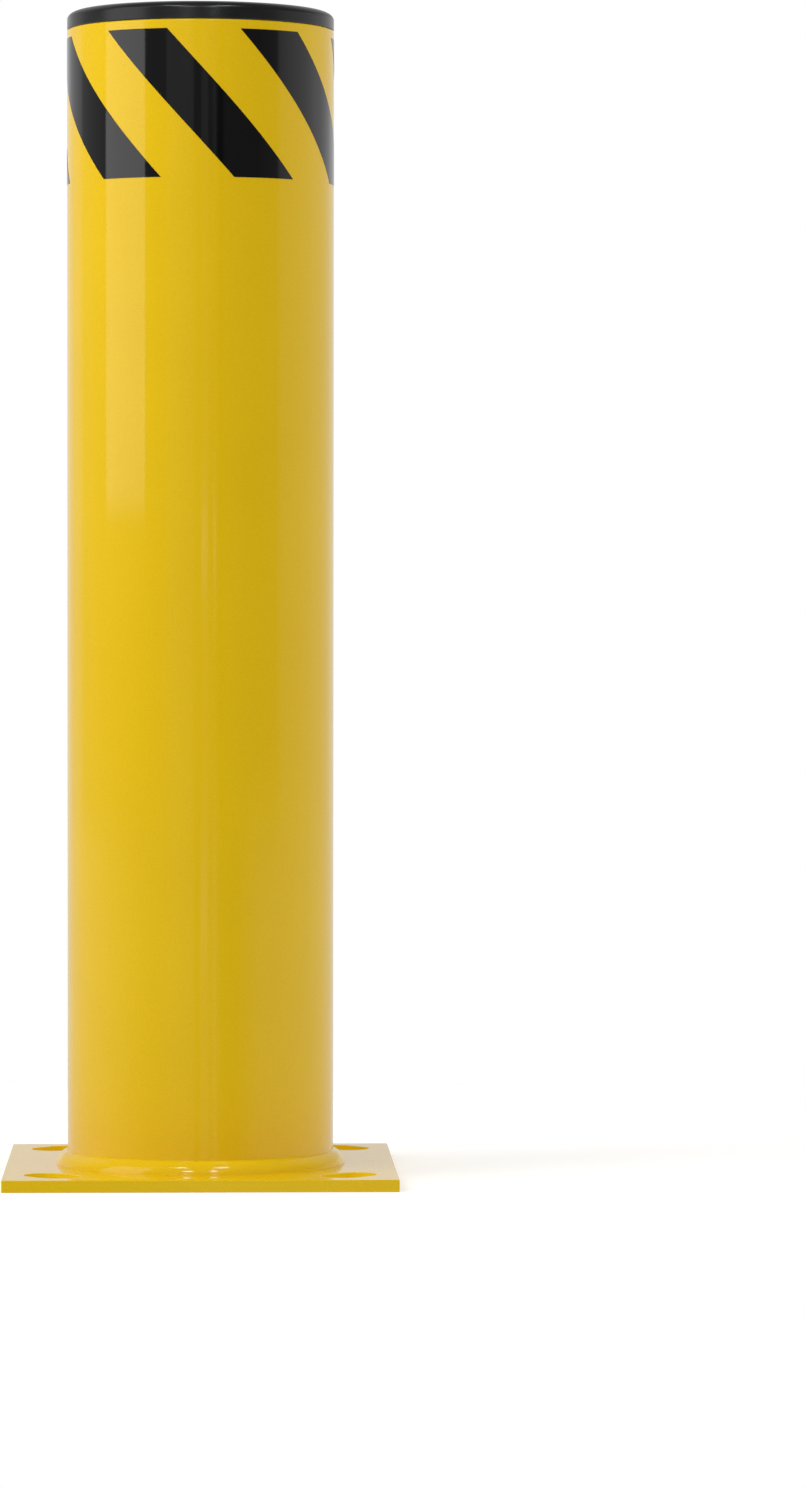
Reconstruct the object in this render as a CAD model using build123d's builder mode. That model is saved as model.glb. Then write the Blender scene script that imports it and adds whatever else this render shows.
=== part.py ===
from build123d import *
import math
import os

# Steel safety bollard: a square base plate, a round post fillet-welded to it, a push-in
# moulded end cap, and a band of six leaning black hazard stripes just below the cap.
# Millimetres, +Z up. The origin is the centre of the plate's underside, and -Y is the front.

# ---- driving dimensions ----

# Base plate
plate_side = 203.2
plate_thickness = 6.35
plate_edge_break = 0.4

# Anchor slots, one in each corner, each with its long axis square to the plate's diagonal
slot_count = 4
slot_edge_distance = 25.4
slot_width = 22.225
slot_length = 31.75

# Post tube
tube_diameter = 139.7
tube_wall = 4.76
tube_length = 593.725
tube_rim_radius = 1.0
tube_bore_chamfer = 0.6

# Fillet weld between the post and the plate
weld_leg_on_plate = 6.35
weld_leg_on_tube = 6.9
weld_bulge = 1.4

# End cap: the head that shows above the post
cap_head_height = 9.525
cap_shoulder_width = 6.5
cap_shoulder_drop = 4.0
cap_roof_thickness = 3.5
cap_lower_rim_radius = 0.6

# End cap: the plug that pushes into the post
plug_depth = 25.4
plug_gap = 1.2
plug_wall = 3.0
plug_lead_in = 0.8
fin_count = 3
fin_thickness = 1.6
fin_pitch = 6.5
fin_lead_in = 0.4
fin_clearance = 0.08
gusset_count = 6
gusset_thickness = 2.5
gusset_reach = 9.0
gusset_drop = 16.0

# Hazard stripes: vinyl strips, measured along the post's skin
stripe_count = 6
stripe_thickness = 0.15
stripe_width = 34.925
stripe_lean = 69.85
stripe_band_height = 76.2
stripe_top_margin = 4.8

# ---- derived places and sizes ----

tube_radius = tube_diameter / 2
bore_radius = tube_radius - tube_wall
tube_top = plate_thickness + tube_length
slot_circle_radius = (plate_side / 2 - slot_edge_distance) * math.sqrt(2)

cap_top = tube_top + cap_head_height
cap_roof_underside = cap_top - cap_roof_thickness
plug_radius = bore_radius - plug_gap
plug_inner_radius = plug_radius - plug_wall
plug_tip = tube_top - plug_depth
fin_radius = bore_radius - fin_clearance
first_fin_top = tube_top - (plug_depth - (fin_count - 1) * fin_pitch - fin_thickness) / 2

stripe_top = tube_top - stripe_top_margin
stripe_bottom = stripe_top - stripe_band_height
stripe_arc = math.degrees(stripe_width / tube_radius)
stripe_twist = math.degrees(stripe_lean / tube_radius)
stripe_pitch_angle = 360 / stripe_count

# The front of the post is on the -Y side, which is at this polar angle
front_angle = -90

# The stripe's blank is this much thicker than the vinyl on each side before it is trimmed
stripe_blank_margin = 2.0

os.makedirs("parts", exist_ok=True)


# ---- base plate ----

with BuildPart() as base_plate:
    with BuildSketch():
        Rectangle(plate_side, plate_side)
        with PolarLocations(slot_circle_radius, slot_count, start_angle=45):
            SlotOverall(slot_length, slot_width, rotation=90, mode=Mode.SUBTRACT)
    extrude(amount=plate_thickness)
    underside = base_plate.faces().sort_by(Axis.Z)[0]
    upper_face = base_plate.faces().sort_by(Axis.Z)[-1]
    chamfer(underside.outer_wire().edges() + upper_face.outer_wire().edges(), plate_edge_break)
base_plate.part.label = "base_plate"
export_step(base_plate.part, "parts/base_plate.step")


# ---- post tube ----

with BuildPart() as post_tube:
    with BuildSketch(Plane.XY.offset(plate_thickness)):
        Circle(tube_radius)
        Circle(bore_radius, mode=Mode.SUBTRACT)
    extrude(amount=tube_length)
    rim_edges = post_tube.edges().filter_by(GeomType.CIRCLE).group_by(Axis.Z)[-1]
    fillet(rim_edges.sort_by(SortBy.RADIUS)[-1], tube_rim_radius)
    mouth_edges = post_tube.edges().filter_by(GeomType.CIRCLE).group_by(Axis.Z)[-1]
    chamfer(mouth_edges.sort_by(SortBy.RADIUS)[0], tube_bore_chamfer)
post_tube.part.label = "post_tube"
export_step(post_tube.part, "parts/post_tube.step")


# ---- weld bead ----

with BuildPart() as weld_bead:
    with BuildSketch(Plane.XZ):
        with BuildLine():
            weld_root = (tube_radius, plate_thickness)
            plate_toe = (tube_radius + weld_leg_on_plate, plate_thickness)
            tube_toe = (tube_radius, plate_thickness + weld_leg_on_tube)
            Polyline(tube_toe, weld_root, plate_toe)
            SagittaArc(tube_toe, plate_toe, weld_bulge)
        make_face()
    revolve(axis=Axis.Z)
weld_bead.part.label = "weld_bead"
export_step(weld_bead.part, "parts/weld_bead.step")


# ---- end cap ----

with BuildPart() as end_cap:
    # The head: a flat top whose shoulder rounds over to a side flush with the post
    with BuildSketch(Plane.XZ):
        with BuildLine():
            shoulder_top = (tube_radius - cap_shoulder_width, cap_top)
            shoulder_foot = (tube_radius, cap_top - cap_shoulder_drop)
            Polyline((0, tube_top), (0, cap_top), shoulder_top)
            EllipticalCenterArc(
                (tube_radius - cap_shoulder_width, cap_top - cap_shoulder_drop),
                cap_shoulder_width,
                cap_shoulder_drop,
                start_angle=0,
                arc_size=90,
            )
            Polyline(shoulder_foot, (tube_radius, tube_top), (0, tube_top))
        make_face()
    revolve(axis=Axis.Z)
    lower_rim = end_cap.edges().filter_by(GeomType.CIRCLE).group_by(Axis.Z)[0]
    fillet(lower_rim, cap_lower_rim_radius)

    # The plug: a skirt that hangs inside the post
    with BuildSketch(Plane.XY.offset(plug_tip)):
        Circle(plug_radius)
    extrude(amount=plug_depth)
    chamfer(end_cap.edges().group_by(Axis.Z)[0], plug_lead_in)

    # The sealing fins round the skirt, which guide the plug in the bore
    for fin in range(fin_count):
        fin_top = first_fin_top - fin * fin_pitch
        with BuildSketch(Plane.XZ):
            with BuildLine():
                Polyline(
                    (plug_radius - plug_wall / 2, fin_top),
                    (fin_radius, fin_top),
                    (fin_radius, fin_top - fin_thickness + fin_lead_in),
                    (fin_radius - fin_lead_in, fin_top - fin_thickness),
                    (plug_radius - plug_wall / 2, fin_top - fin_thickness),
                    close=True,
                )
            make_face()
        revolve(axis=Axis.Z)

    # The hollow that runs up the skirt and into the head
    with BuildSketch(Plane.XY.offset(plug_tip)):
        Circle(plug_inner_radius)
    extrude(amount=cap_roof_underside - plug_tip, mode=Mode.SUBTRACT)

    # The gussets in the hollow, between the skirt and the roof
    gusset_planes = [
        Plane.XZ.rotated((0, 0, 360 * gusset / gusset_count)) for gusset in range(gusset_count)
    ]
    with BuildSketch(*gusset_planes):
        with BuildLine():
            gusset_root = plug_inner_radius + plug_wall / 2
            Polyline(
                (plug_inner_radius - gusset_reach, cap_roof_underside),
                (gusset_root, cap_roof_underside),
                (gusset_root, cap_roof_underside - gusset_drop),
                (plug_inner_radius, cap_roof_underside - gusset_drop),
                close=True,
            )
        make_face()
    extrude(amount=gusset_thickness / 2, both=True)
end_cap.part.label = "end_cap"
export_step(end_cap.part, "parts/end_cap.step")


# ---- hazard stripes ----


def twisted_blank(start_angle):
    """A sector of a thick ring that turns as it rises, wider in radius than the vinyl."""
    inner = tube_radius - stripe_blank_margin
    outer = tube_radius + stripe_thickness + stripe_blank_margin
    with BuildSketch(Plane.XY.offset(stripe_bottom), mode=Mode.PRIVATE) as sector:
        with BuildLine():
            outer_arc = CenterArc((0, 0), outer, start_angle, stripe_arc)
            inner_arc = CenterArc((0, 0), inner, start_angle, stripe_arc)
            Line(inner_arc @ 0, outer_arc @ 0)
            Line(inner_arc @ 1, outer_arc @ 1)
        make_face()
    return Solid.extrude_linear_with_rotation(
        sector.sketch.faces()[0],
        center=(0, 0, stripe_bottom),
        normal=(0, 0, stripe_band_height),
        angle=-stripe_twist,
    )


# Each strip's lower end leads its upper end to the right, and the first is centred in front
first_stripe_start = front_angle + stripe_twist / 2 - stripe_arc / 2

for number in range(1, stripe_count + 1):
    blank = twisted_blank(first_stripe_start + (number - 1) * stripe_pitch_angle)
    with BuildPart() as stripe:
        with BuildSketch(Plane.XY.offset(stripe_bottom)):
            Circle(tube_radius + stripe_thickness)
            Circle(tube_radius, mode=Mode.SUBTRACT)
        extrude(amount=stripe_band_height)
        add(blank, mode=Mode.INTERSECT)
    stripe.part.label = f"stripe_{number}"
    export_step(stripe.part, f"parts/stripe_{number}.step")
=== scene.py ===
"""Steel safety bollard: its finished look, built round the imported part.

A square base plate, a round post fillet-welded to it, a push-in moulded end cap, and a band
of leaning hazard stripes. Everything is in metres with +Z up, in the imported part's own frame:
the origin is the centre of the plate's underside, and -Y is the front.
"""

import logging
import math
from dataclasses import dataclass
from enum import Enum
from typing import Any, Iterable, Sequence

import bmesh
import bpy
from mathutils import Euler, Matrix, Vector

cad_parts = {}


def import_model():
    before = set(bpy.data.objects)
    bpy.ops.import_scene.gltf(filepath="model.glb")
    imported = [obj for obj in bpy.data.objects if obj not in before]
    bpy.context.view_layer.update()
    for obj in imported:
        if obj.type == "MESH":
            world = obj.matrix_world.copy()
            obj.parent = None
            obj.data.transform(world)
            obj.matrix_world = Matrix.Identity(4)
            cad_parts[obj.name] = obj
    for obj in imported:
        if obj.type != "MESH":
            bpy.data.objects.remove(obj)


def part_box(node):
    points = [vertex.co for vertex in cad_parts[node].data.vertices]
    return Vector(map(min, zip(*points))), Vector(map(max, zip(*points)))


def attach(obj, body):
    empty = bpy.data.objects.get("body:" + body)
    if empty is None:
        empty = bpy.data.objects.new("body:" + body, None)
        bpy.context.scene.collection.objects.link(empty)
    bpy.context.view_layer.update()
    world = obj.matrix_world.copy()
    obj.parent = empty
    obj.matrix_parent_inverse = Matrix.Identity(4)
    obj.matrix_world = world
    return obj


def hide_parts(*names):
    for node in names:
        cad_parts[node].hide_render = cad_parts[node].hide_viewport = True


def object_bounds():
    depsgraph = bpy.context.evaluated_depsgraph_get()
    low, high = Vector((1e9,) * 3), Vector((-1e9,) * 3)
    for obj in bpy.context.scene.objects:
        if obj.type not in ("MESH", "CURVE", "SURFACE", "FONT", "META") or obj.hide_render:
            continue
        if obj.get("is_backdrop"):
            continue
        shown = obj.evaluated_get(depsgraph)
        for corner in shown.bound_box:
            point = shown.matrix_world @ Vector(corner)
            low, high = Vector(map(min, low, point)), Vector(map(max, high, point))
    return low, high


LOG = logging.getLogger("bollard")

MM = 0.001

Point = tuple[float, float]
Colour = tuple[float, float, float, float]


class Body(Enum):
    """The two bodies of the part that move against each other."""

    POST = "post"
    CAP = "cap"


class Slot(Enum):
    """The names of the finishes."""

    YELLOW_POWDER_COAT = "yellow_powder_coat"
    BLACK_MOULDED_CAP = "black_moulded_cap"
    BLACK_VINYL = "black_vinyl"


# ---------------- mesh tools


def arc(centre: Point, radii: Point, start: float, end: float, steps: int) -> list[Point]:
    """Place points along an arc of an upright ellipse.

    Args:
        centre: The ellipse's centre.
        radii: Its half width and half height.
        start: Angle of the first point, in degrees anticlockwise from the right.
        end: Angle of the last point, in degrees.
        steps: Number of short straight runs in the arc.

    Returns:
        The points in order, both ends included.
    """
    turns = [math.radians(start + (end - start) * step / steps) for step in range(steps + 1)]
    return [
        (centre[0] + radii[0] * math.cos(turn), centre[1] + radii[1] * math.sin(turn))
        for turn in turns
    ]


def run(start: Point, end: Point, steps: int) -> list[Point]:
    """Divide a straight run into equal steps.

    Args:
        start: First point, included.
        end: Last point, left out so that the next run can begin there.
        steps: Number of steps.

    Returns:
        The points in order.
    """
    shares = [step / steps for step in range(steps)]
    return [
        (start[0] + (end[0] - start[0]) * share, start[1] + (end[1] - start[1]) * share)
        for share in shares
    ]


def new_piece(
    name: str, corners: Sequence[Sequence[float]], faces: Sequence[Sequence[int]]
) -> bpy.types.Object:
    """Make a mesh object from its corners and faces and put it in the scene.

    Args:
        name: Name of the object and of its mesh.
        corners: Places of the corners, in metres.
        faces: Corner numbers of each face.

    Returns:
        The new object, with its origin at the frame's origin.
    """
    mesh = bpy.data.meshes.new(name)
    mesh.from_pydata(corners, [], faces)
    mesh.validate()
    piece = bpy.data.objects.new(name, mesh)
    bpy.context.scene.collection.objects.link(piece)
    return piece


def turned_piece(name: str, outline: Sequence[Point], segments: int) -> bpy.types.Object:
    """Turn a closed outline about the post's axis into a solid.

    Args:
        name: Name of the object.
        outline: Radius and height of each corner, anticlockwise seen with the axis at the left.
        segments: Number of facets round the turn.

    Returns:
        The new object. An outline corner on the axis becomes a single mesh corner.
    """
    corners: list[tuple[float, float, float]] = []
    rings: list[list[int]] = []
    for radius, height in outline:
        count = segments if radius > 0 else 1
        first = len(corners)
        for number in range(count):
            turn = 2 * math.pi * number / segments
            corners.append((radius * math.cos(turn), radius * math.sin(turn), height))
        rings.append([first + number % count for number in range(segments)])
    faces: list[list[int]] = []
    for here, there in zip(rings, rings[1:] + rings[:1]):
        for number in range(segments):
            following = (number + 1) % segments
            around = [here[number], here[following], there[following], there[number]]
            face = list(dict.fromkeys(around))
            if len(face) > 2:
                faces.append(face)
    return new_piece(name, corners, faces)


def apply_modifiers(piece: bpy.types.Object) -> None:
    """Make a piece's modifiers part of its mesh.

    Args:
        piece: The object whose modifiers are applied and cleared.
    """
    shaped = piece.evaluated_get(bpy.context.evaluated_depsgraph_get())
    mesh = bpy.data.meshes.new_from_object(shaped)
    mesh.name = piece.name
    piece.modifiers.clear()
    piece.data = mesh


def even_shading(piece: bpy.types.Object, crease: float = 40.0) -> None:
    """Shade a piece smooth, with true flats beside its small rounded edges.

    Args:
        piece: The object to shade.
        crease: Angle between two faces, in degrees, above which their edge stays sharp.
    """
    piece.data.shade_smooth()
    piece.data.set_sharp_from_angle(angle=math.radians(crease))
    evened = piece.modifiers.new("even_normals", "WEIGHTED_NORMAL")
    evened.keep_sharp = True
    evened.weight = 100
    apply_modifiers(piece)


# ---------------- node tools


class NodeBench:
    """A short way to wire the nodes of one material or of the world."""

    def __init__(self, tree: bpy.types.NodeTree) -> None:
        """Clear a node tree and keep it for wiring."""
        tree.nodes.clear()
        self.tree = tree

    def add(self, kind: str, **settings: Any) -> bpy.types.Node:
        """Add one node.

        Args:
            kind: Blender's name for the type of node.
            **settings: Properties of the node and their values.

        Returns:
            The new node.
        """
        node = self.tree.nodes.new(kind)
        for setting, value in settings.items():
            setattr(node, setting, value)
        return node

    def feed(self, source: bpy.types.NodeSocket | float, target: bpy.types.NodeSocket) -> None:
        """Wire a source into a socket, or set the socket when the source is a number.

        Args:
            source: A socket to wire from, or the number to set.
            target: The socket that takes it.
        """
        if isinstance(source, (int, float)):
            target.default_value = source
        else:
            self.tree.links.new(source, target)

    def surface_place(self) -> bpy.types.NodeSocket:
        """Return each surface point's place in the frame, in metres."""
        return self.add("ShaderNodeTexCoord").outputs["Object"]

    def noise(
        self, place: bpy.types.NodeSocket, grain: float, detail: float = 2.0
    ) -> bpy.types.NodeSocket:
        """Add soft random mottling.

        Args:
            place: Where on the surface each value belongs.
            grain: Rough size of one blotch, in metres.
            detail: Number of finer layers on top of the first.

        Returns:
            A value about 0.5 that wanders between 0 and 1.
        """
        node = self.add("ShaderNodeTexNoise", noise_dimensions="3D")
        node.inputs["Scale"].default_value = 1 / grain
        node.inputs["Detail"].default_value = detail
        self.feed(place, node.inputs["Vector"])
        return node.outputs["Fac"]

    def ranged(
        self,
        value: bpy.types.NodeSocket,
        source: Point,
        target: Point,
        smooth: bool = False,
    ) -> bpy.types.NodeSocket:
        """Stretch a value from one range to another, and hold it at the ends.

        Args:
            value: The value to stretch.
            source: Its two ends.
            target: What the two ends become.
            smooth: Whether it eases in and out.

        Returns:
            The stretched value.
        """
        kind = "SMOOTHSTEP" if smooth else "LINEAR"
        node = self.add("ShaderNodeMapRange", interpolation_type=kind, clamp=True)
        self.feed(value, node.inputs["Value"])
        for name, number in zip(("From Min", "From Max", "To Min", "To Max"), source + target):
            node.inputs[name].default_value = number
        return node.outputs["Result"]

    def math(
        self,
        operation: str,
        first: bpy.types.NodeSocket | float,
        second: bpy.types.NodeSocket | float,
    ) -> bpy.types.NodeSocket:
        """Combine two values.

        Args:
            operation: Blender's name for the sum to do.
            first: First value.
            second: Second value.

        Returns:
            The outcome.
        """
        node = self.add("ShaderNodeMath", operation=operation)
        self.feed(first, node.inputs[0])
        self.feed(second, node.inputs[1])
        return node.outputs["Value"]

    def blend(
        self,
        share: bpy.types.NodeSocket,
        first: bpy.types.NodeSocket | Colour,
        second: bpy.types.NodeSocket | Colour,
    ) -> bpy.types.NodeSocket:
        """Blend two colours.

        Args:
            share: How much of the second colour shows, from 0 to 1.
            first: Colour at 0.
            second: Colour at 1.

        Returns:
            The blended colour.
        """
        node = self.add("ShaderNodeMix", data_type="RGBA", clamp_factor=True)
        colours = [socket for socket in node.inputs if socket.type == "RGBA"]
        self.feed(share, node.inputs["Factor"])
        for source, target in zip((first, second), colours):
            if isinstance(source, tuple):
                target.default_value = source
            else:
                self.feed(source, target)
        return [socket for socket in node.outputs if socket.type == "RGBA"][0]

    def bump(
        self,
        height: bpy.types.NodeSocket,
        strength: float,
        distance: float,
        under: bpy.types.NodeSocket | None = None,
    ) -> bpy.types.NodeSocket:
        """Raise a fine relief on the surface.

        Args:
            height: The relief's height, from 0 to 1.
            strength: How strongly the relief tilts the surface, from 0 to 1.
            distance: Height of the full relief, in metres.
            under: A relief that this one lies on.

        Returns:
            The surface's new normal.
        """
        node = self.add("ShaderNodeBump")
        node.inputs["Strength"].default_value = strength
        node.inputs["Distance"].default_value = distance
        self.feed(height, node.inputs["Height"])
        if under is not None:
            self.feed(under, node.inputs["Normal"])
        return node.outputs["Normal"]


def new_finish(name: str) -> tuple[bpy.types.Material, NodeBench, bpy.types.Node]:
    """Start a material with one surface shader.

    Args:
        name: Name of the material.

    Returns:
        The material, its bench, and its surface shader.
    """
    material = bpy.data.materials.new(name)
    material.use_nodes = True
    bench = NodeBench(material.node_tree)
    shader = bench.add("ShaderNodeBsdfPrincipled")
    output = bench.add("ShaderNodeOutputMaterial")
    bench.feed(shader.outputs["BSDF"], output.inputs["Surface"])
    return material, bench, shader


# ---------------- finishes


@dataclass(frozen=True)
class PowderCoat:
    """Gloss safety-yellow powder coat, baked on steel, with a faint orange peel."""

    deep: Colour = (0.805, 0.510, 0.0042, 1.0)
    bright: Colour = (0.905, 0.592, 0.0063, 1.0)
    gloss_roughness: Point = (0.060, 0.085)
    cloud_size: float = 60 * MM
    cloud_share: float = 0.2
    peel_size: float = 2.6 * MM
    peel_depth: float = 0.004 * MM
    grain_size: float = 0.55 * MM
    grain_share: float = 0.8
    grain_depth: float = 0.0012 * MM
    contrast: Point = (0.3, 0.7)
    refraction: float = 1.5

    def make(self) -> bpy.types.Material:
        """Build the coat.

        Returns:
            The coat's material.
        """
        material, bench, shader = new_finish(Slot.YELLOW_POWDER_COAT.value)
        place = bench.surface_place()
        clouds = bench.noise(place, self.cloud_size, detail=1.0)
        grain = bench.noise(place, self.grain_size, detail=2.0)
        peel = bench.noise(place, self.peel_size, detail=1.0)
        share = bench.math(
            "ADD",
            bench.math("MULTIPLY", clouds, self.cloud_share),
            bench.math("MULTIPLY", grain, self.grain_share),
        )
        colour = bench.blend(bench.ranged(share, self.contrast, (0.0, 1.0)), self.deep, self.bright)
        bench.feed(colour, shader.inputs["Base Color"])
        gloss = bench.ranged(grain, self.contrast, self.gloss_roughness)
        bench.feed(gloss, shader.inputs["Roughness"])
        shader.inputs["IOR"].default_value = self.refraction
        relief = bench.bump(peel, 1.0, self.peel_depth)
        relief = bench.bump(grain, 1.0, self.grain_depth, relief)
        bench.feed(relief, shader.inputs["Normal"])
        return material


@dataclass(frozen=True)
class StripeVinyl:
    """Gloss black adhesive vinyl, which shows a little of the coat's relief."""

    black: Colour = (0.0006, 0.0006, 0.0006, 1.0)
    scuffed: Colour = (0.0016, 0.0016, 0.0017, 1.0)
    gloss_roughness: Point = (0.055, 0.085)
    cloud_size: float = 22 * MM
    peel_size: float = 3.2 * MM
    peel_depth: float = 0.003 * MM
    grain_size: float = 0.5 * MM
    grain_contrast: Point = (0.35, 0.65)
    cloud_contrast: Point = (0.3, 0.7)
    refraction: float = 1.7

    def make(self) -> bpy.types.Material:
        """Build the vinyl.

        Returns:
            The vinyl's material.
        """
        material, bench, shader = new_finish(Slot.BLACK_VINYL.value)
        place = bench.surface_place()
        clouds = bench.noise(place, self.cloud_size, detail=3.0)
        grain = bench.noise(place, self.grain_size, detail=1.0)
        peel = bench.noise(place, self.peel_size, detail=1.0)
        speckle = bench.ranged(grain, self.grain_contrast, (0.0, 1.0))
        bench.feed(bench.blend(speckle, self.black, self.scuffed), shader.inputs["Base Color"])
        gloss = bench.ranged(clouds, self.cloud_contrast, self.gloss_roughness)
        bench.feed(gloss, shader.inputs["Roughness"])
        shader.inputs["IOR"].default_value = self.refraction
        bench.feed(bench.bump(peel, 1.0, self.peel_depth), shader.inputs["Normal"])
        return material


@dataclass(frozen=True)
class CapPlastic:
    """Black moulded polyethylene with the fine satin texture of its mould."""

    black: Colour = (0.009, 0.009, 0.0095, 1.0)
    rubbed: Colour = (0.014, 0.014, 0.0145, 1.0)
    satin_roughness: Point = (0.21, 0.27)
    cloud_size: float = 18 * MM
    contrast: Point = (0.3, 0.7)
    spark_size: float = 0.35 * MM
    spark_depth: float = 0.007 * MM
    spark_strength: float = 0.6
    refraction: float = 1.5

    def make(self) -> bpy.types.Material:
        """Build the plastic.

        Returns:
            The plastic's material.
        """
        material, bench, shader = new_finish(Slot.BLACK_MOULDED_CAP.value)
        place = bench.surface_place()
        clouds = bench.noise(place, self.cloud_size, detail=4.0)
        sparks = bench.noise(place, self.spark_size, detail=2.0)
        wear = bench.ranged(clouds, self.contrast, (0.0, 1.0))
        bench.feed(bench.blend(wear, self.black, self.rubbed), shader.inputs["Base Color"])
        satin = bench.ranged(clouds, self.contrast, self.satin_roughness)
        bench.feed(satin, shader.inputs["Roughness"])
        shader.inputs["IOR"].default_value = self.refraction
        relief = bench.bump(sparks, self.spark_strength, self.spark_depth)
        bench.feed(relief, shader.inputs["Normal"])
        return material


@dataclass(frozen=True)
class FloorSheet:
    """A pale translucent sheet, lit a little from below, that melts into the white surround."""

    pale: Colour = (0.82, 0.82, 0.82, 1.0)
    glow: float = 0.35
    solid_radius: float = 0.26
    rim_radius: float = 0.62

    def make(self) -> bpy.types.Material:
        """Build the sheet.

        Returns:
            The sheet's material.
        """
        material = bpy.data.materials.new("pale_floor")
        material.use_nodes = True
        bench = NodeBench(material.node_tree)
        place = bench.surface_place()
        reach = bench.add("ShaderNodeVectorMath", operation="LENGTH")
        bench.feed(place, reach.inputs[0])
        rim = (self.solid_radius, self.rim_radius)
        fade = bench.ranged(reach.outputs["Value"], rim, (0.0, 1.0), smooth=True)
        matt = bench.add("ShaderNodeBsdfDiffuse")
        matt.inputs["Color"].default_value = self.pale
        lit = bench.add("ShaderNodeEmission")
        lit.inputs["Strength"].default_value = self.glow
        sheet = bench.add("ShaderNodeAddShader")
        clear = bench.add("ShaderNodeBsdfTransparent")
        mixed = bench.add("ShaderNodeMixShader")
        output = bench.add("ShaderNodeOutputMaterial")
        bench.feed(fade, mixed.inputs["Fac"])
        bench.feed(matt.outputs["BSDF"], sheet.inputs[0])
        bench.feed(lit.outputs["Emission"], sheet.inputs[1])
        bench.feed(sheet.outputs["Shader"], mixed.inputs[1])
        bench.feed(clear.outputs["BSDF"], mixed.inputs[2])
        bench.feed(mixed.outputs["Shader"], output.inputs["Surface"])
        return material


# ---------------- the bollard's pieces


def hand_over(
    piece: bpy.types.Object,
    body: Body,
    finish: bpy.types.Material,
    nodes: Iterable[str],
) -> bpy.types.Object:
    """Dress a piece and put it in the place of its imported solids.

    Args:
        piece: The finished object.
        body: The body that it moves with.
        finish: The material for it.
        nodes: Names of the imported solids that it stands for.

    Returns:
        The same object.
    """
    piece.data.materials.clear()
    piece.data.materials.append(finish)
    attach(piece, body.value)
    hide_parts(*nodes)
    LOG.info("%s: %d faces, on %s", piece.name, len(piece.data.polygons), body.value)
    return piece


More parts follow.
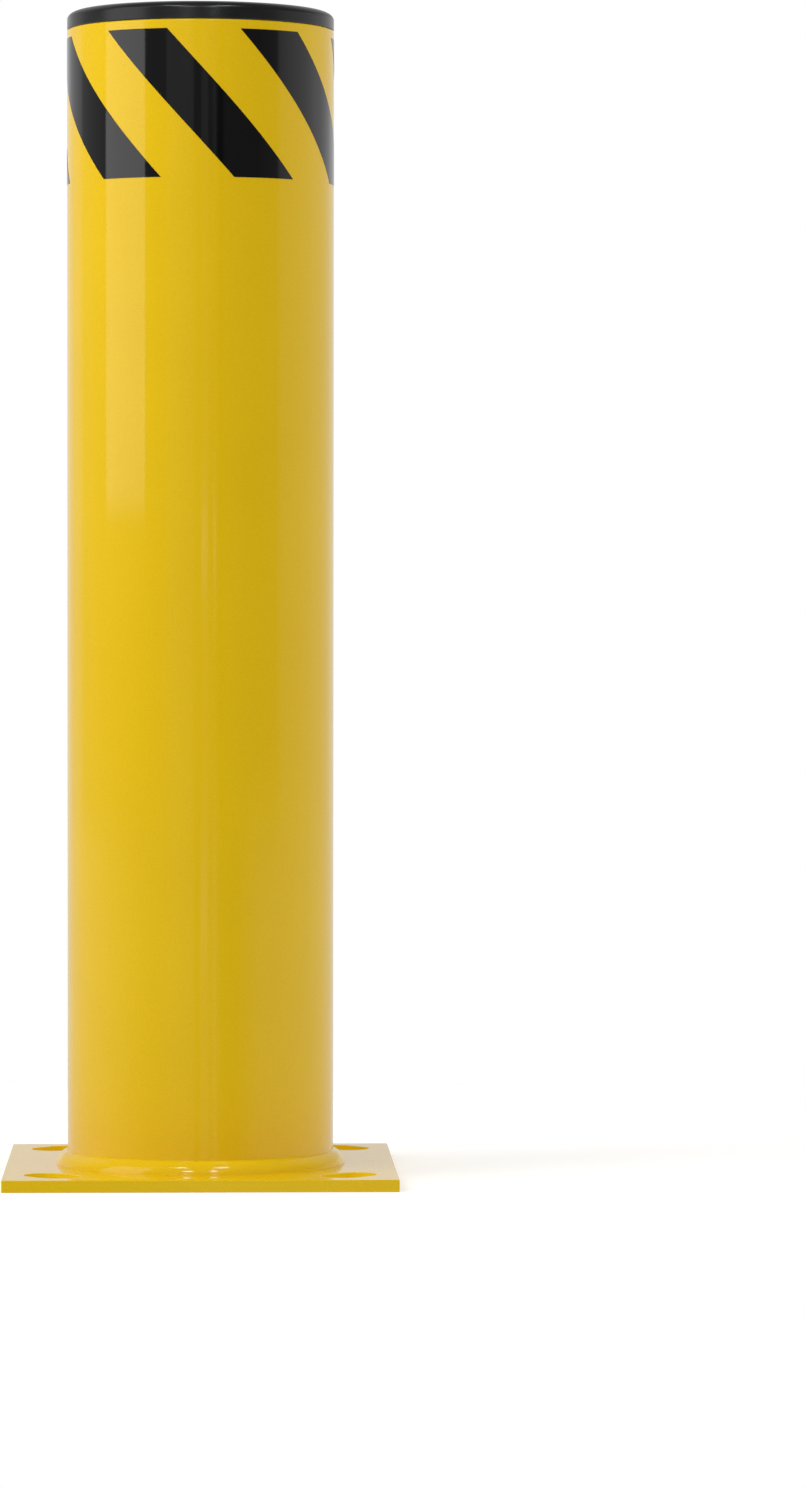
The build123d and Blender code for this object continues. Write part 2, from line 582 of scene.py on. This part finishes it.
@dataclass
class BasePlate:
    """The square steel plate with an anchor slot in each corner."""

    side: float
    thickness: float
    slot_edge_distance: float = 25.4 * MM
    slot_width: float = 22.225 * MM
    slot_length: float = 31.75 * MM
    edge_round: float = 0.4 * MM
    corner_round: float = 0.7 * MM
    slot_rim_round: float = 0.5 * MM
    round_steps: int = 4
    side_steps: int = 12
    slot_end_steps: int = 20

    @staticmethod
    def corner_place(reach: float, corner: int) -> Point:
        """Place a point on one of the plate's diagonals.

        Args:
            reach: How far the point lies from the centre, along X and along Y.
            corner: Number of the plate's corner, from 0.

        Returns:
            The point.
        """
        turn = math.radians(45 + 90 * corner)
        return reach * math.copysign(1, math.cos(turn)), reach * math.copysign(1, math.sin(turn))

    def side_outline(self, inset: float) -> list[Point]:
        """Trace the plate's outer edge.

        Args:
            inset: How far inside the true edge the trace runs.

        Returns:
            The outline's points, anticlockwise, with the corners rounded.
        """
        centre = self.side / 2 - self.corner_round
        radius = self.corner_round - inset
        outline: list[Point] = []
        for corner in range(4):
            middle = self.corner_place(centre, corner)
            bend = arc(middle, (radius, radius), 90 * corner, 90 * corner + 90, self.round_steps)
            next_middle = self.corner_place(centre, corner + 1)
            away = math.radians(90 * corner + 90)
            next_start = (
                next_middle[0] + radius * math.cos(away),
                next_middle[1] + radius * math.sin(away),
            )
            outline += bend[:-1] + run(bend[-1], next_start, self.side_steps)
        return outline

    def slot_outline(self, corner: int, growth: float) -> list[Point]:
        """Trace one anchor slot, whose long axis is square to the plate's diagonal.

        Args:
            corner: Number of the plate's corner, from 0.
            growth: How far outside the slot's true wall the trace runs.

        Returns:
            The outline's points, anticlockwise.
        """
        radius = self.slot_width / 2 + growth
        reach = (self.slot_length - self.slot_width) / 2
        ends = arc((reach, 0.0), (radius, radius), -90, 90, self.slot_end_steps)
        ends += arc((-reach, 0.0), (radius, radius), 90, 270, self.slot_end_steps)
        middle = self.corner_place(self.side / 2 - self.slot_edge_distance, corner)
        lean = math.radians(45 + 90 * corner) + math.pi / 2
        return [
            (
                middle[0] + x * math.cos(lean) - y * math.sin(lean),
                middle[1] + x * math.sin(lean) + y * math.cos(lean),
            )
            for x, y in ends
        ]

    def rows(self, rounding: float) -> list[Point]:
        """List how an edge wall rounds over from the underside to the top.

        Args:
            rounding: Radius of the rounding at both faces.

        Returns:
            Set-back and height of each row, from the underside up.
        """
        lower = arc((rounding, rounding), (rounding, rounding), 270, 180, self.round_steps)
        upper = arc((rounding, self.thickness - rounding), (rounding, rounding), 180, 90, self.round_steps)
        return lower + upper

    def build(self, finish: bpy.types.Material) -> bpy.types.Object:
        """Build the plate and dress it.

        Args:
            finish: The powder coat.

        Returns:
            The finished plate.
        """
        solid = bmesh.new()
        rims: dict[str, list[bmesh.types.BMEdge]] = {"lower": [], "upper": []}
        walls = [
            [(self.side_outline(setback), height) for setback, height in self.rows(self.edge_round)]
        ]
        for corner in range(4):
            walls.append(
                [
                    (self.slot_outline(corner, setback), height)
                    for setback, height in self.rows(self.slot_rim_round)
                ]
            )
        for number, wall in enumerate(walls):
            rings = [[solid.verts.new((x, y, height)) for x, y in loop] for loop, height in wall]
            for low, high in zip(rings, rings[1:]):
                for here, there in zip(range(len(low)), [*range(1, len(low)), 0]):
                    face = [low[here], low[there], high[there], high[here]]
                    solid.faces.new(face if number == 0 else face[::-1])
            for name, ring in (("lower", rings[0]), ("upper", rings[-1])):
                for first, second in zip(ring, ring[1:] + ring[:1]):
                    rims[name].append(solid.edges.get((first, second)))
        for name, up in (("lower", -1.0), ("upper", 1.0)):
            bmesh.ops.triangle_fill(
                solid, edges=rims[name], use_beauty=True, use_dissolve=False, normal=(0, 0, up)
            )
        bmesh.ops.recalc_face_normals(solid, faces=solid.faces)
        piece = new_piece("base_plate_steel", [], [])
        solid.to_mesh(piece.data)
        solid.free()
        even_shading(piece)
        return hand_over(piece, Body.POST, finish, ["base_plate"])


@dataclass
class PostTube:
    """The round steel tube that stands on the plate."""

    radius: float
    foot: float
    top: float
    wall: float = 4.76 * MM
    rim_round: float = 1.0 * MM
    mouth_round: float = 0.6 * MM
    segments: int = 360
    wall_rows: int = 60
    round_steps: int = 6

    def outline(self) -> list[Point]:
        """Trace the tube's wall.

        Returns:
            A closed outline, anticlockwise.
        """
        bore = self.radius - self.wall
        rim, mouth = self.rim_round, self.mouth_round
        outline = run((self.radius, self.foot), (self.radius, self.top - rim), self.wall_rows)
        outline += arc((self.radius - rim, self.top - rim), (rim, rim), 0, 90, self.round_steps)
        outline += arc((bore + mouth, self.top - mouth), (mouth, mouth), 90, 180, self.round_steps)
        outline += run((bore, self.top - mouth), (bore, self.foot), self.wall_rows)[1:]
        return outline + [(bore, self.foot)]

    def build(self, finish: bpy.types.Material) -> bpy.types.Object:
        """Build the tube and dress it.

        Args:
            finish: The powder coat.

        Returns:
            The finished tube.
        """
        piece = turned_piece("post_tube_steel", self.outline(), self.segments)
        even_shading(piece)
        return hand_over(piece, Body.POST, finish, ["post_tube"])


@dataclass
class WeldBead:
    """The convex fillet weld round the post's foot, with faint ripples under the coat."""

    tube_radius: float
    plate_top: float
    leg_on_plate: float = 6.35 * MM
    leg_on_tube: float = 6.9 * MM
    bulge: float = 1.4 * MM
    ripple_pitch: float = 2.9 * MM
    ripple_height: float = 0.010 * MM
    ripple_lag: float = 2.2
    swell_count: int = 7
    swell_height: float = 0.05 * MM
    swell_waver: float = 1.7
    face_steps: int = 20
    segments: int = 1280

    def face_point(self, share: float, raised: float) -> Point:
        """Find a point on the bead's rounded face.

        Args:
            share: How far round the face, from 0 at the tube to 1 at the plate.
            raised: Height above the true arc.

        Returns:
            Radius and height of the point.
        """
        chord = math.hypot(self.leg_on_plate, self.leg_on_tube)
        radius = (chord**2 / 4 + self.bulge**2) / (2 * self.bulge)
        half = math.asin(chord / 2 / radius)
        facing = math.atan2(self.leg_on_plate, self.leg_on_tube)
        back = radius - self.bulge
        centre_r = self.tube_radius + self.leg_on_plate / 2 - back * math.cos(facing)
        centre_z = self.plate_top + self.leg_on_tube / 2 - back * math.sin(facing)
        turn = facing + half * (1 - 2 * share)
        return (
            centre_r + (radius + raised) * math.cos(turn),
            centre_z + (radius + raised) * math.sin(turn),
        )

    def raised(self, share: float, turn: float) -> float:
        """Work out the bead's ripple at a point.

        Args:
            share: How far round the face, from 0 at the tube to 1 at the plate.
            turn: Angle round the post, in radians.

        Returns:
            Height of the ripple there, in metres.
        """
        ripple_count = round(2 * math.pi * self.tube_radius / self.ripple_pitch)
        lag = self.ripple_lag * (2 * share - 1) ** 2
        ripple = self.ripple_height * math.cos(ripple_count * turn - lag)
        waver = self.swell_waver * math.sin(2 * turn)
        swell = self.swell_height * math.sin(self.swell_count * turn + waver)
        return (ripple + swell) * math.sin(math.pi * share)

    def build(self, finish: bpy.types.Material) -> bpy.types.Object:
        """Build the bead and dress it.

        Args:
            finish: The powder coat.

        Returns:
            The finished bead.
        """
        corners: list[tuple[float, float, float]] = []
        faces: list[list[int]] = []
        row = self.face_steps + 2
        for number in range(self.segments):
            turn = 2 * math.pi * number / self.segments
            section = [(self.tube_radius, self.plate_top)]
            for step in range(self.face_steps + 1):
                share = 1 - step / self.face_steps
                section.append(self.face_point(share, self.raised(share, turn)))
            corners += [(r * math.cos(turn), r * math.sin(turn), z) for r, z in section]
            here, there = number * row, (number + 1) % self.segments * row
            for step in range(row):
                following = (step + 1) % row
                faces.append([here + step, there + step, there + following, here + following])
        piece = new_piece("weld_bead_steel", corners, faces)
        even_shading(piece)
        return hand_over(piece, Body.POST, finish, ["weld_bead"])


@dataclass
class EndCap:
    """The moulded cap: a low rounded head over a finned plug that pushes into the post."""

    radius: float
    seat: float
    top: float
    plug_tip: float
    bore_radius: float
    shoulder_width: float = 6.5 * MM
    shoulder_drop: float = 4.0 * MM
    roof: float = 3.5 * MM
    lower_rim_round: float = 0.6 * MM
    plug_gap: float = 1.2 * MM
    plug_wall: float = 3.0 * MM
    lead_in: float = 0.8 * MM
    fin_count: int = 3
    fin_thickness: float = 1.6 * MM
    fin_pitch: float = 6.5 * MM
    fin_lead_in: float = 0.4 * MM
    fin_clearance: float = 0.08 * MM
    gusset_count: int = 6
    gusset_thickness: float = 2.5 * MM
    gusset_reach: float = 9.0 * MM
    gusset_drop: float = 16.0 * MM
    segments: int = 360
    lower_rim_steps: int = 5
    shoulder_steps: int = 20
    top_rings: tuple[float, ...] = (0.85, 0.6, 0.3)

    @property
    def plug_radius(self) -> float:
        """Outer radius of the plug's skirt."""
        return self.bore_radius - self.plug_gap

    @property
    def hollow_radius(self) -> float:
        """Inner radius of the plug's skirt."""
        return self.plug_radius - self.plug_wall

    def outline(self) -> list[Point]:
        """Trace half of the cap.

        Returns:
            A closed outline from the axis, anticlockwise.
        """
        rim = self.lower_rim_round
        ceiling = self.top - self.roof
        outline: list[Point] = [(0.0, ceiling), (self.hollow_radius, ceiling)]
        outline += [(self.hollow_radius, self.plug_tip)]
        outline += [(self.plug_radius - self.lead_in, self.plug_tip)]
        outline += [(self.plug_radius, self.plug_tip + self.lead_in)]
        spare = self.seat - self.plug_tip - (self.fin_count - 1) * self.fin_pitch - self.fin_thickness
        fin_radius = self.bore_radius - self.fin_clearance
        for number in reversed(range(self.fin_count)):
            fin_top = self.seat - spare / 2 - number * self.fin_pitch
            fin_foot = fin_top - self.fin_thickness
            outline += [
                (self.plug_radius, fin_foot),
                (fin_radius - self.fin_lead_in, fin_foot),
                (fin_radius, fin_foot + self.fin_lead_in),
                (fin_radius, fin_top),
                (self.plug_radius, fin_top),
            ]
        outline += [(self.plug_radius, self.seat)]
        outline += arc((self.radius - rim, self.seat + rim), (rim, rim), -90, 0, self.lower_rim_steps)
        shoulder = (self.radius - self.shoulder_width, self.top - self.shoulder_drop)
        outline += arc(shoulder, (self.shoulder_width, self.shoulder_drop), 0, 90, self.shoulder_steps)
        flat = self.radius - self.shoulder_width
        outline += [(flat * share, self.top) for share in self.top_rings]
        return outline + [(0.0, self.top)]

    def gussets(self) -> bpy.types.Object:
        """Build the ring of gussets inside the cap.

        Returns:
            A tool to join on to the cap.
        """
        ceiling = self.top - self.roof
        root = self.hollow_radius + self.plug_wall / 2
        buried = ceiling + self.roof / 3
        section = [
            (self.hollow_radius - self.gusset_reach, buried),
            (self.hollow_radius - self.gusset_reach, ceiling),
            (self.hollow_radius, ceiling - self.gusset_drop),
            (root, ceiling - self.gusset_drop),
            (root, buried),
        ]
        corners: list[tuple[float, float, float]] = []
        faces: list[list[int]] = []
        count = len(section)
        for number in range(self.gusset_count):
            turn = 2 * math.pi * number / self.gusset_count
            first = len(corners)
            for side in (-self.gusset_thickness / 2, self.gusset_thickness / 2):
                corners += [
                    (
                        r * math.cos(turn) - side * math.sin(turn),
                        r * math.sin(turn) + side * math.cos(turn),
                        z,
                    )
                    for r, z in section
                ]
            faces.append([first + step for step in range(count)])
            faces.append([first + count + step for step in reversed(range(count))])
            for step in range(count):
                following = (step + 1) % count
                faces.append(
                    [first + following, first + step, first + count + step, first + count + following]
                )
        return new_piece("cap_gusset_tool", corners, faces)

    def build(self, finish: bpy.types.Material) -> bpy.types.Object:
        """Build the cap and dress it.

        Args:
            finish: The moulded plastic.

        Returns:
            The finished cap.
        """
        piece = turned_piece("end_cap_moulding", self.outline(), self.segments)
        tool = self.gussets()
        joined = piece.modifiers.new("gussets", "BOOLEAN")
        joined.operation = "UNION"
        joined.solver = "EXACT"
        joined.object = tool
        apply_modifiers(piece)
        bpy.data.objects.remove(tool)
        even_shading(piece)
        return hand_over(piece, Body.CAP, finish, ["end_cap"])


@dataclass
class HazardStripes:
    """The band of leaning black strips, stuck on the post below the cap."""

    tube_radius: float
    bottom: float
    top: float
    count: int = 6
    thickness: float = 0.15 * MM
    width: float = 34.925 * MM
    lean: float = 69.85 * MM
    edge_round: float = 0.04 * MM
    front: float = -90.0
    columns: int = 32
    rows: int = 72

    def place(self, number: int, share: Point, radius: float) -> tuple[float, float, float]:
        """Find a point of one strip.

        Args:
            number: The strip's number, from 0.
            share: How far across the strip and how far up it, from 0 to 1.
            radius: Distance from the post's axis.

        Returns:
            The point's place.
        """
        arc_turn = self.width / self.tube_radius
        twist = self.lean / self.tube_radius
        start = math.radians(self.front) + (twist - arc_turn) / 2 + 2 * math.pi * number / self.count
        turn = start + share[0] * arc_turn - share[1] * twist
        height = self.bottom + (self.top - self.bottom) * share[1]
        return radius * math.cos(turn), radius * math.sin(turn), height

    def strip(self, number: int) -> bpy.types.Object:
        """Build one strip.

        Args:
            number: The strip's number, from 0.

        Returns:
            The strip, a thin closed solid with a softened upper edge.
        """
        inset_across = self.edge_round / self.width
        inset_up = self.edge_round / (self.top - self.bottom)
        layers = (
            (self.tube_radius, 0.0, 0.0),
            (self.tube_radius + self.thickness - self.edge_round, 0.0, 0.0),
            (self.tube_radius + self.thickness, inset_across, inset_up),
        )
        corners: list[tuple[float, float, float]] = []
        for radius, across, up in layers:
            for row in range(self.rows + 1):
                for column in range(self.columns + 1):
                    share = (
                        min(max(column / self.columns, across), 1 - across),
                        min(max(row / self.rows, up), 1 - up),
                    )
                    corners.append(self.place(number, share, radius))
        stride = self.columns + 1
        layer_size = stride * (self.rows + 1)
        faces: list[list[int]] = []
        for row in range(self.rows):
            for column in range(self.columns):
                first = row * stride + column
                patch = [first, first + 1, first + 1 + stride, first + stride]
                faces.append(patch[::-1])
                faces.append([corner + 2 * layer_size for corner in patch])
        border = list(range(self.columns))
        border += [row * stride + self.columns for row in range(self.rows)]
        border += [self.rows * stride + column for column in range(self.columns, 0, -1)]
        border += [row * stride for row in range(self.rows, 0, -1)]
        for here, there in zip(border, border[1:] + border[:1]):
            for layer in (0, layer_size):
                faces.append(
                    [layer + here, layer + there, layer + layer_size + there, layer + layer_size + here]
                )
        piece = new_piece(f"stripe_{number + 1}_vinyl", corners, faces)
        loose = bmesh.new()
        loose.from_mesh(piece.data)
        unused = [vert for vert in loose.verts if not vert.link_faces]
        bmesh.ops.delete(loose, geom=unused, context="VERTS")
        loose.to_mesh(piece.data)
        loose.free()
        even_shading(piece)
        return piece

    def build(self, finish: bpy.types.Material) -> list[bpy.types.Object]:
        """Build every strip and dress it.

        Args:
            finish: The vinyl.

        Returns:
            The finished strips in order.
        """
        return [
            hand_over(self.strip(number), Body.POST, finish, [f"stripe_{number + 1}"])
            for number in range(self.count)
        ]


# ---------------- the studio


@dataclass
class StudioFloor:
    """The pale sheet that the bollard stands on."""

    radius: float = 0.66
    segments: int = 96
    thickness: float = 1.0 * MM

    def build(self, finish: bpy.types.Material) -> bpy.types.Object:
        """Lay the sheet just under the plate.

        Args:
            finish: The sheet's material.

        Returns:
            The floor.
        """
        outline = [(0.0, -self.thickness), (self.radius, -self.thickness), (self.radius, 0.0), (0.0, 0.0)]
        floor = turned_piece("studio_floor", outline, self.segments)
        floor.data.materials.append(finish)
        floor.visible_diffuse = False
        floor.visible_glossy = False
        floor.visible_shadow = False
        floor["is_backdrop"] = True
        LOG.info("%s: %.2f m across", floor.name, 2 * self.radius)
        return floor


def bearing(azimuth: float, distance: float, height: float) -> Vector:
    """Find a place round the bollard.

    Args:
        azimuth: Angle from the front, in degrees, towards +X.
        distance: Distance from the post's axis.
        height: Height above the floor.

    Returns:
        The place.
    """
    turn = math.radians(azimuth)
    return Vector((distance * math.sin(turn), -distance * math.cos(turn), height))


class Reach(Enum):
    """What a light does: light everything, only glint in gloss, or only wash matt colour."""

    ALL = "all"
    GLINTS = "glints"
    WASH = "wash"


@dataclass(frozen=True)
class SoftBox:
    """An even rectangular light that faces the bollard."""

    name: str
    azimuth: float
    distance: float
    height: float
    size: Point
    radiance: float
    aim_height: float
    reach: Reach = Reach.ALL

    def build(self) -> bpy.types.Object:
        """Hang the light, hidden from the camera and with its own reach.

        Returns:
            The light.
        """
        lamp = bpy.data.lights.new(self.name, "AREA")
        lamp.shape = "RECTANGLE"
        lamp.size, lamp.size_y = self.size
        lamp.energy = self.radiance * math.pi * self.size[0] * self.size[1]
        light = bpy.data.objects.new(self.name, lamp)
        bpy.context.scene.collection.objects.link(light)
        light.location = bearing(self.azimuth, self.distance, self.height)
        towards = Vector((0.0, 0.0, self.aim_height)) - light.location
        light.rotation_euler = towards.to_track_quat("-Z", "Y").to_euler()
        light.visible_camera = False
        light.visible_diffuse = self.reach is not Reach.GLINTS
        light.visible_glossy = self.reach is not Reach.WASH
        LOG.info("%s: %.2f by %.2f m", self.name, *self.size)
        return light


@dataclass(frozen=True)
class StudioSurround:
    """The soft room round the bollard, as rings of light seen from it.

    Each ring is a run of azimuths from the front, in degrees towards +X, and the radiance there.
    The mirrored values are what gloss shows in their place. Each edge is where one band of light
    eases into the next, in degrees above the horizon.
    """

    walls: tuple[Point, ...] = (
        (-180, 0.72),
        (-174, 0.68),
        (-160, 0.80),
        (-156, 0.72),
        (-146, 0.62),
        (-126, 0.55),
        (-122, 0.34),
        (-90, 0.24),
        (-50, 0.15),
        (-30, 0.15),
        (-6, 0.12),
        (0, 0.12),
        (0.6, 0.22),
        (6.0, 0.22),
        (6.6, 0.12),
        (10.4, 0.12),
        (11.0, 0.18),
        (13.0, 0.18),
        (13.6, 0.07),
        (15.6, 0.04),
        (19.0, 0.04),
        (20.0, 0.10),
        (50, 0.09),
        (69.5, 0.14),
        (71.5, 0.36),
        (84, 0.48),
        (96, 0.54),
        (117, 0.68),
        (126, 0.65),
        (146, 0.75),
        (150, 0.82),
        (180, 0.72),
    )
    upper_walls: tuple[Point, ...] = (
        (-180, 0.70),
        (-130, 0.80),
        (-70, 1.25),
        (-40, 1.15),
        (0, 1.00),
        (30, 1.05),
        (60, 1.20),
        (180, 0.80),
    )
    upper_walls_mirrored: tuple[Point, ...] = (
        (-180, 0.60),
        (-130, 0.45),
        (-95, 0.10),
        (95, 0.10),
        (130, 0.45),
        (180, 0.60),
    )
    far_ground: tuple[Point, ...] = (
        (-180, 0.78),
        (-120, 0.65),
        (-92, 0.60),
        (-56, 0.30),
        (-40, 0.22),
        (-27, 0.30),
        (-6, 0.30),
        (-5, 0.13),
        (-1, 0.13),
        (0, 0.34),
        (6, 0.34),
        (7, 0.22),
        (10, 0.22),
        (11, 0.42),
        (13, 0.42),
        (15, 0.11),
        (30, 0.09),
        (54, 0.50),
        (120, 0.74),
        (180, 0.78),
    )
    near_ground: float = 0.75
    ceiling: float = 0.47
    ceiling_mirrored: float = 0.12
    near_ground_edge: Point = (-24.0, -12.0)
    wall_foot: Point = (-2.6, -2.0)
    upper_wall_foot: Point = (8.0, 14.0)
    ceiling_edge: Point = (42.0, 60.0)
    backdrop: Colour = (1.0, 1.0, 1.0, 1.0)

    @staticmethod
    def grey(radiance: float) -> Colour:
        """Return a neutral light of one radiance."""
        return radiance, radiance, radiance, 1.0

    @staticmethod
    def ring(
        bench: NodeBench, share: bpy.types.NodeSocket, stops: tuple[Point, ...]
    ) -> bpy.types.NodeSocket:
        """Grade the light round the bollard.

        Args:
            bench: The world's bench.
            share: How far round from the back, from 0 to 1.
            stops: Azimuth and radiance of each stop.

        Returns:
            The radiance as a grey.
        """
        ramp = bench.add("ShaderNodeValToRGB")
        elements = ramp.color_ramp.elements
        while len(elements) < len(stops):
            elements.new(1.0)
        for element, (azimuth, radiance) in zip(elements, stops):
            element.position = (azimuth + 180) / 360
            element.color = StudioSurround.grey(radiance)
        bench.feed(share, ramp.inputs["Fac"])
        return ramp.outputs["Color"]

    def build(self) -> bpy.types.World:
        """Build the world's light.

        Returns:
            The world.
        """
        world = bpy.data.worlds.new("studio_surround")
        world.use_nodes = True
        bench = NodeBench(world.node_tree)
        direction = bench.add("ShaderNodeTexCoord").outputs["Generated"]
        split = bench.add("ShaderNodeSeparateXYZ")
        bench.feed(direction, split.inputs["Vector"])
        front = bench.math("MULTIPLY", split.outputs["Y"], -1.0)
        turn = bench.math("ARCTAN2", split.outputs["X"], front)
        share = bench.ranged(turn, (-math.pi, math.pi), (0.0, 1.0))
        rise = split.outputs["Z"]
        ray = bench.add("ShaderNodeLightPath")
        mirrored = ray.outputs["Is Glossy Ray"]
        upper = bench.blend(
            mirrored,
            self.ring(bench, share, self.upper_walls),
            self.ring(bench, share, self.upper_walls_mirrored),
        )
        ceiling = bench.blend(mirrored, self.grey(self.ceiling), self.grey(self.ceiling_mirrored))
        light = self.grey(self.near_ground)
        bands = (
            (self.near_ground_edge, self.ring(bench, share, self.far_ground)),
            (self.wall_foot, self.ring(bench, share, self.walls)),
            (self.upper_wall_foot, upper),
            (self.ceiling_edge, ceiling),
        )
        for edge, band in bands:
            ends = tuple(math.sin(math.radians(angle)) for angle in edge)
            light = bench.blend(bench.ranged(rise, ends, (0.0, 1.0), smooth=True), light, band)
        seen = bench.blend(ray.outputs["Is Camera Ray"], light, self.backdrop)
        background = bench.add("ShaderNodeBackground")
        output = bench.add("ShaderNodeOutputWorld")
        bench.feed(seen, background.inputs["Color"])
        bench.feed(background.outputs["Background"], output.inputs["Surface"])
        bpy.context.scene.world = world
        LOG.info("%s: ceiling at %.2f", world.name, self.ceiling)
        return world


@dataclass(frozen=True)
class StudioLights:
    """The softboxes and the small lamps round the bollard."""

    # Name, azimuth, distance, height, size, radiance, height that it faces, and reach
    boxes: tuple[SoftBox, ...] = (
        SoftBox("left_key", -67.7, 1.5, 1.17, (1.09, 1.60), 1.05, 1.17),
        SoftBox("front_panel", -17.5, 4.5, 1.6, (1.85, 3.2), 0.12, 1.6),
        SoftBox("right_rear", 107, 2.0, 1.38, (0.92, 1.64), 0.35, 1.38, Reach.WASH),
        SoftBox("left_wash", -65, 1.0, 1.35, (0.80, 0.80), 2.65, 0.4, Reach.WASH),
        SoftBox("left_streak_lamp", 3.2, 3.4, 0.36, (0.30, 0.09), 0.65, 0.36, Reach.GLINTS),
        SoftBox("right_streak_lamp", 12.0, 3.4, 0.36, (0.14, 0.09), 0.60, 0.36, Reach.GLINTS),
        SoftBox("floor_streak_lamp", 3.2, 3.4, -0.03, (0.30, 0.10), 0.35, -0.03, Reach.GLINTS),
        SoftBox("low_left_lamp", -11.5, 3.4, 1.17, (0.20, 0.16), 12.0, 0.0, Reach.GLINTS),
        SoftBox("low_right_lamp", 11.5, 3.4, 1.17, (0.20, 0.16), 12.0, 0.0, Reach.GLINTS),
        SoftBox("mid_left_lamp", -11.5, 2.0, 1.62, (0.20, 0.26), 20.0, 0.0, Reach.GLINTS),
        SoftBox("mid_right_lamp", 11.5, 2.0, 1.62, (0.20, 0.26), 20.0, 0.0, Reach.GLINTS),
        SoftBox("high_left_lamp", -27, 0.85, 1.70, (0.26, 0.14), 18.0, 0.0, Reach.GLINTS),
        SoftBox("high_right_lamp", 27, 0.85, 1.70, (0.26, 0.14), 18.0, 0.0, Reach.GLINTS),
    )

    def build(self) -> list[bpy.types.Object]:
        """Hang every light and return them in order."""
        return [box.build() for box in self.boxes]


@dataclass(frozen=True)
class StudioCamera:
    """The camera in front of the bollard, level with the middle of the post."""

    place: tuple[float, float, float] = (-0.0012, -3.1375, 0.3050)
    turned_right: float = 1.966
    tipped_down: float = 1.437
    rolled: float = 0.056
    lens: float = 144.33
    film_side: float = 36.0
    far_clip: float = 50.0

    def build(self) -> bpy.types.Object:
        """Set up the camera as the scene's own.

        Returns:
            The camera.
        """
        data = bpy.data.cameras.new("studio_camera")
        data.lens = self.lens
        data.sensor_width = self.film_side
        data.clip_end = self.far_clip
        camera = bpy.data.objects.new("studio_camera", data)
        bpy.context.scene.collection.objects.link(camera)
        aim = Euler(
            (math.radians(90 - self.tipped_down), 0.0, -math.radians(self.turned_right)), "XYZ"
        ).to_matrix()
        roll = Euler((0.0, 0.0, math.radians(self.rolled)), "XYZ").to_matrix()
        camera.rotation_euler = (aim @ roll).to_euler("XYZ")
        camera.location = self.place
        bpy.context.scene.camera = camera
        LOG.info("%s: %.2f mm lens", camera.name, self.lens)
        return camera


@dataclass
class SizeCard:
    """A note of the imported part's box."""

    packed: tuple[Vector, Vector]

    def write(self) -> None:
        """Do nothing: no box is written."""


def main() -> None:
    """Build the bollard's pieces, then the studio."""
    logging.basicConfig(level=logging.INFO, format="%(name)s: %(message)s")
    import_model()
    card = SizeCard(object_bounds())

    coat = PowderCoat().make()
    vinyl = StripeVinyl().make()
    plastic = CapPlastic().make()

    plate_low, plate_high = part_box("base_plate")
    tube_low, tube_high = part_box("post_tube")
    cap_low, cap_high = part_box("end_cap")
    stripe_low, stripe_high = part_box("stripe_1")

    BasePlate(side=plate_high.x - plate_low.x, thickness=plate_high.z - plate_low.z).build(coat)
    tube = PostTube(radius=tube_high.x, foot=tube_low.z, top=tube_high.z)
    tube.build(coat)
    WeldBead(tube_radius=tube.radius, plate_top=tube.foot).build(coat)
    EndCap(
        radius=cap_high.x,
        seat=tube.top,
        top=cap_high.z,
        plug_tip=cap_low.z,
        bore_radius=tube.radius - tube.wall,
    ).build(plastic)
    HazardStripes(tube_radius=tube.radius, bottom=stripe_low.z, top=stripe_high.z).build(vinyl)

    StudioFloor().build(FloorSheet().make())
    StudioSurround().build()
    StudioLights().build()
    StudioCamera().build()
    bpy.context.scene.view_settings.view_transform = "Standard"

    card.write()


if __name__ == "__main__":
    main()
